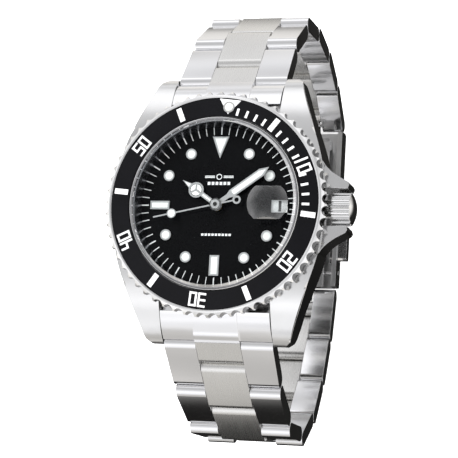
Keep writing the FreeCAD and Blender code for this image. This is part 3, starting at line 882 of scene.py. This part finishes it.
# ---------------------------------------------------------------- dial and hands
@dataclass
class DialPrint:
    """Minute track and plain ornaments on the dial."""

    tick_in: float = 12.7
    tick_out: float = 14.05
    tick_w: float = 0.14
    film: float = 0.015
    date_r: float = 11.1
    date_size: float = 2.4
    days: int = 31

    def outlines(self) -> list[list[Point2]]:
        """Ticks and ornaments."""
        out = []
        for minute in [m for m in range(60) if m != 15]:
            wide = self.tick_w * (1.5 if minute % 5 == 0 else 1.0)
            flat = rect(-wide / 2, wide / 2, self.tick_in, self.tick_out)
            out.append([turn(p, minute * 6) for p in flat])
        for side in (-1, 1):
            x0, x1 = sorted((side * 0.8, side * 2.6))
            out += [rect(x0, x1, 5.2, 5.35), rect(x0, x1, 4.95, 5.1)]
        out += ring(0.0, 5.15, 0.38, 0.52, 20)
        for k in range(6):
            out.append(rect(-2.05 + 0.72 * k, -1.55 + 0.72 * k, 3.7, 4.25))
        for k in range(9):
            out.append(rect(-2.72 + 0.62 * k, -2.28 + 0.62 * k, -5.35, -4.95))
        x0, x1, y1, w = 12.95, 13.95, 0.62, self.tick_w
        out += [rect(x0, x1, y1 - w, y1), rect(x0, x1, -y1, w - y1), rect(x1 - w, x1, w - y1, y1 - w)]
        return out

    def date_numbers(self) -> bpy.types.Mesh:
        """Numbers 1 to 31 round the date ring, the first one at the window."""
        bm = bmesh.new()
        lo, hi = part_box("date_ring")
        for day in range(1, self.days + 1):
            curve = bpy.data.curves.new("day", "FONT")
            curve.body = str(day)
            curve.size = self.date_size * MM
            curve.align_x, curve.align_y = "CENTER", "CENTER"
            curve.extrude = 0.00001
            curve.offset = 0.00013
            holder = bpy.data.objects.new("day", curve)
            bpy.context.scene.collection.objects.link(holder)
            shown = holder.evaluated_get(bpy.context.evaluated_depsgraph_get())
            flat = bpy.data.meshes.new_from_object(shown)
            bpy.data.objects.remove(holder)
            spin = Matrix.Rotation(2 * math.pi * (day - 1) / self.days, 4, "Z")
            flat.transform(spin @ Matrix.Translation((self.date_r * MM, 0.0, hi[2] + 0.00001)))
            bm.from_mesh(flat)
            bpy.data.meshes.remove(flat)
        mesh = bpy.data.meshes.new("date_numbers")
        bm.to_mesh(mesh)
        bm.free()
        return mesh

    def build(self, f: Finishes) -> None:
        """Add the print and dress the dial's nodes.

        Args:
            f: The finishes.
        """
        mesh = relief("dial_print", self.outlines(), lambda x, y: DIAL_Z - 0.002, self.film)
        piece("dial_print", mesh, "case", f.print)
        piece("date_numbers", self.date_numbers(), "date_ring", f.ink)
        for node, finish in (("dial", f.dial), ("hour_markers", f.satin), ("marker_lume", f.lume),
                             ("rehaut", f.flange), ("date_ring", f.date), ("crystal", f.glass),
                             ("cyclops_lens", f.lens), ("crystal_gasket", f.nylon)):
            dress(node, finish)


@dataclass
class HandFills:
    """Luminous fills of the three hands."""

    hour_at: float = 304.5
    minute_at: float = 54.0
    second_at: float = 258.0
    film: float = 0.05

    def fill(self, name: str, outlines: list[list[Point2]], at: float, z: float, body: str,
             f: Finishes) -> None:
        """Add one hand's fill.

        Args:
            name: Piece name.
            outlines: Outlines drawn with the hand at 12.
            at: Clock angle of the hand.
            z: Top of the hand above the dial.
            body: Body it rides on.
            f: The finishes.
        """
        turned = [[turn(p, at) for p in o] for o in outlines]
        mesh = relief(name, turned, lambda x, y: DIAL_Z + z - 0.02, self.film)
        piece(name, mesh, body, f.lume)

    def build(self, f: Finishes) -> None:
        """Add all fills and dress the hands.

        Args:
            f: The finishes.
        """
        sectors = []
        for mid in (0, 120, 240):
            arc = [turn((0.0, 1.0), mid + a) for a in range(50, -51, -10)]
            hub = turn((0.0, 0.2), mid)
            sectors.append([(x, y + 4.7) for x, y in [hub] + arc][::-1])
        sectors.append([(-0.3, 6.15), (0.3, 6.15), (0.0, 7.3)])
        sectors.append(rect(-0.17, 0.17, 1.35, 3.2))
        self.fill("hour_fill", sectors, self.hour_at, 0.8, "hour_train", f)
        self.fill("minute_fill", [[(-0.42, 3.6), (0.42, 3.6), (0.42, 9.6), (0.0, 10.7), (-0.42, 9.6)]],
                  self.minute_at, 1.22, "minute_train", f)
        self.fill("seconds_fill", [disc(0.0, 8.1, 0.62)], self.second_at, 1.62, "seconds_train", f)
        for node in ("hour_hand", "minute_hand"):
            dress(node, f.satin)
        dress("seconds_hand", HandSteel("steel_seconds", (0.92, 0.92, 0.92)).make())


# ---------------------------------------------------------------- case, movement, bracelet
@dataclass
class CaseAndMovement:
    """Case nodes and everything sealed inside."""

    def build(self, f: Finishes) -> None:
        """Dress the nodes.

        Args:
            f: The finishes.
        """
        looks = {"case_middle": f.case, "case_back": f.turned, "case_back_gasket": f.rubber,
                 "crown": f.mirror, "stem": f.mirror, "crown_tube": f.mirror,
                 "crown_gasket": f.rubber, "movement_holder": f.nylon, "main_plate": f.plate,
                 "train_bridge": f.bridge, "balance_cock": f.bridge, "barrel": f.wheel,
                 "centre_wheel": f.wheel, "third_wheel": f.wheel, "fourth_wheel": f.wheel,
                 "escape_wheel": f.turned, "pallet_fork": f.turned, "balance_wheel": f.wheel,
                 "hairspring": f.blued, "rotor": f.bridge, "rotor_bearing": f.turned,
                 "bridge_screws": f.blued, "hour_wheel": f.wheel, "spring_bars": f.mirror}
        for node, finish in looks.items():
            dress(node, finish)


@dataclass
class Bracelet:
    """End links, links and the folding clasp."""

    knuckle: float = 0.001

    def ends(self) -> dict[str, Point3]:
        """Where the last link of each side meets the clasp."""
        low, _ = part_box("clasp_inner_blade")
        cover = next(j for j in frame["joints"] if j["name"] == "cover_swing")
        return {"12": tuple(cover["pos_m"]), "6": (0.0, low[1] + self.knuckle, low[2] + self.knuckle)}

    def build(self, f: Finishes) -> None:
        """Dress the nodes.

        Args:
            f: The finishes.
        """
        for side, end in self.ends().items():
            hinges = [Vector(j["pos_m"]) for j in frame["joints"]
                      if j["name"].startswith("hinge_%s_" % side)]
            pitch = (hinges[1] - hinges[0]).length
            for k, (here, there) in enumerate(zip(hinges, hinges[1:] + [Vector(end)]), 1):
                name = "link_%s_%d" % (side, k)
                way = (there - here).normalized()
                dress(name, LinkSteel("strap_" + name, tuple(here), tuple(way), pitch).make())
            name = "end_link_" + side
            way = (hinges[1] - hinges[0]).normalized()
            back = hinges[0] - way * pitch
            dress(name, LinkSteel("strap_" + name, tuple(back), tuple(way), pitch,
                                  matt_from=0.76 * pitch, crown=0.0).make())
        for node in frame["nodes"]:
            if node.startswith("clasp_"):
                dress(node, f.mirror if "button" in node or "bar" in node else f.brushed)


# ---------------------------------------------------------------- stage
@dataclass
class Studio:
    """Floor, light and camera."""

    azimuth: float = 16.0
    tilt: float = -8.93
    roll: float = 3.19
    distance: float = 300.0
    shift_x: float = 1.98
    shift_y: float = -4.08
    focal: float = 134.65
    floor_half: float = 1.5
    sky_lean: Point3 = (0.0, 0.3, 1.0)
    low_tint: Colour = (1.0, 0.975, 0.94)
    high_tint: Colour = (0.985, 0.985, 1.0)
    sky: tuple[tuple[float, float], ...] = (
        (0.0, 0.015), (0.17, 0.02), (0.21, 0.10), (0.28, 0.75), (0.45, 0.92),
        (0.62, 1.0), (0.80, 0.98), (0.90, 0.85), (0.955, 0.62), (1.0, 0.50))
    tint_change: float = 0.6
    cloud_scale: float = 2.2
    cloud_gain: float = 2.0
    cloud_base: float = 0.12
    shown_grey: float = 0.95

    def camera(self) -> None:
        """Add the camera that looks down on the dial from the crown side."""
        a, e, r = (math.radians(v) for v in (self.azimuth, self.tilt, self.roll))
        back = Vector((math.sin(a) * math.cos(e), math.sin(e), math.cos(a) * math.cos(e)))
        right = Vector((0, 1, 0)).cross(back).normalized()
        up = back.cross(right)
        across = right * math.cos(r) + up * math.sin(r)
        upward = -right * math.sin(r) + up * math.cos(r)
        at = back * self.distance + across * self.shift_x + upward * self.shift_y
        at += Vector((0, 0, DIAL_Z))
        data = bpy.data.cameras.new("view")
        data.lens = self.focal
        data.sensor_width = 36.0
        data.clip_start, data.clip_end = 0.01, 20.0
        made = bpy.data.objects.new("view", data)
        bpy.context.scene.collection.objects.link(made)
        turn3 = Matrix((across, upward, back)).transposed()
        made.matrix_world = Matrix.Translation(at * MM) @ turn3.to_4x4()
        bpy.context.scene.camera = made

    def floor(self) -> None:
        """Add the pale floor under the clasp."""
        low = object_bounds()[0][2]
        mesh = bpy.data.meshes.new("floor")
        h = self.floor_half
        mesh.from_pydata([(-h, -h, low), (h, -h, low), (h, h, low), (-h, h, low)], [], [(0, 1, 2, 3)])
        made = bpy.data.objects.new("floor", mesh)
        bpy.context.scene.collection.objects.link(made)
        paper = Paint("floor_pale", (0.93, 0.93, 0.93), (0.8, 0.9), 0.0, 0.01, 0.7)
        made.data.materials.append(paper.make())
        made.visible_glossy = False
        made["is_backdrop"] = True

    def lamp(self, name: str, at: Point3, size: float, power: float) -> None:
        """Add a soft lamp aimed at the watch.

        Args:
            name: Lamp name.
            at: Place in metres.
            size: Edge length in metres.
            power: Watts.
        """
        data = bpy.data.lights.new(name, "AREA")
        data.shape = "SQUARE"
        data.size = size
        data.energy = power
        made = bpy.data.objects.new(name, data)
        bpy.context.scene.collection.objects.link(made)
        made.visible_glossy = False
        made.location = at
        made.rotation_mode = "QUATERNION"
        made.rotation_quaternion = (Vector(at) - Vector((0, 0, -0.02))).to_track_quat("Z", "Y")

    def surroundings(self) -> None:
        """Pale studio with soft clouds: dark below, brightest at mid height, greyer overhead."""
        world = bpy.data.worlds.new("studio")
        bpy.context.scene.world = world
        world.use_nodes = True
        tree = world.node_tree
        tree.nodes.clear()
        coords = tree.nodes.new("ShaderNodeTexCoord")
        lean = tree.nodes.new("ShaderNodeVectorMath")
        lean.operation = "DOT_PRODUCT"
        lean.inputs[1].default_value = self.sky_lean
        tree.links.new(coords.outputs["Generated"], lean.inputs[0])
        ramp = tree.nodes.new("ShaderNodeValToRGB")
        points = ramp.color_ramp.elements
        while len(points) < len(self.sky):
            points.new(0.5)
        for point, (at, v) in zip(points, self.sky):
            point.position = at
            tint = self.low_tint if at < self.tint_change else self.high_tint
            point.color = (*(v * c for c in tint), 1.0)
        cloud = tree.nodes.new("ShaderNodeTexNoise")
        cloud.inputs["Scale"].default_value = self.cloud_scale
        cloud.inputs["Detail"].default_value = 1.0
        tree.links.new(coords.outputs["Generated"], cloud.inputs["Vector"])
        level = tree.nodes.new("ShaderNodeMath")
        level.operation = "MULTIPLY_ADD"
        level.inputs[1].default_value = self.cloud_gain
        level.inputs[2].default_value = self.cloud_base
        tree.links.new(cloud.outputs["Fac"], level.inputs[0])
        half = tree.nodes.new("ShaderNodeMath")
        half.operation = "MULTIPLY_ADD"
        half.inputs[1].default_value = 0.5
        half.inputs[2].default_value = 0.5
        tree.links.new(lean.outputs["Value"], half.inputs[0])
        tree.links.new(half.outputs[0], ramp.inputs["Fac"])
        shown = tree.nodes.new("ShaderNodeBackground")
        tree.links.new(level.outputs[0], shown.inputs["Strength"])
        tree.links.new(ramp.outputs["Color"], shown.inputs["Color"])
        plain = tree.nodes.new("ShaderNodeBackground")
        plain.inputs["Color"].default_value = (*[self.shown_grey] * 3, 1.0)
        path = tree.nodes.new("ShaderNodeLightPath")
        mix = tree.nodes.new("ShaderNodeMixShader")
        tree.links.new(path.outputs["Is Camera Ray"], mix.inputs["Fac"])
        tree.links.new(shown.outputs[0], mix.inputs[1])
        tree.links.new(plain.outputs[0], mix.inputs[2])
        tree.links.new(mix.outputs[0], tree.nodes.new("ShaderNodeOutputWorld").inputs["Surface"])

    def build(self) -> None:
        """Build the stage."""
        self.camera()
        self.floor()
        self.surroundings()
        self.lamp("key", (-0.3, 0.5, 0.6), 0.4, 7.0)
        self.lamp("fill", (0.5, -0.55, 0.4), 0.5, 4.0)
        bpy.context.scene.view_settings.view_transform = "Standard"


def main() -> None:
    """Dress the watch and set the stage."""
    logging.basicConfig(level=logging.INFO, format="%(name)s %(message)s")
    finishes = Finishes()
    for part in (BezelScale(), DialPrint(), HandFills(), CaseAndMovement(), Bracelet()):
        part.build(finishes)
        LOG.info("%s done", type(part).__name__)
    Studio().build()


if __name__ == "__main__":
    main()
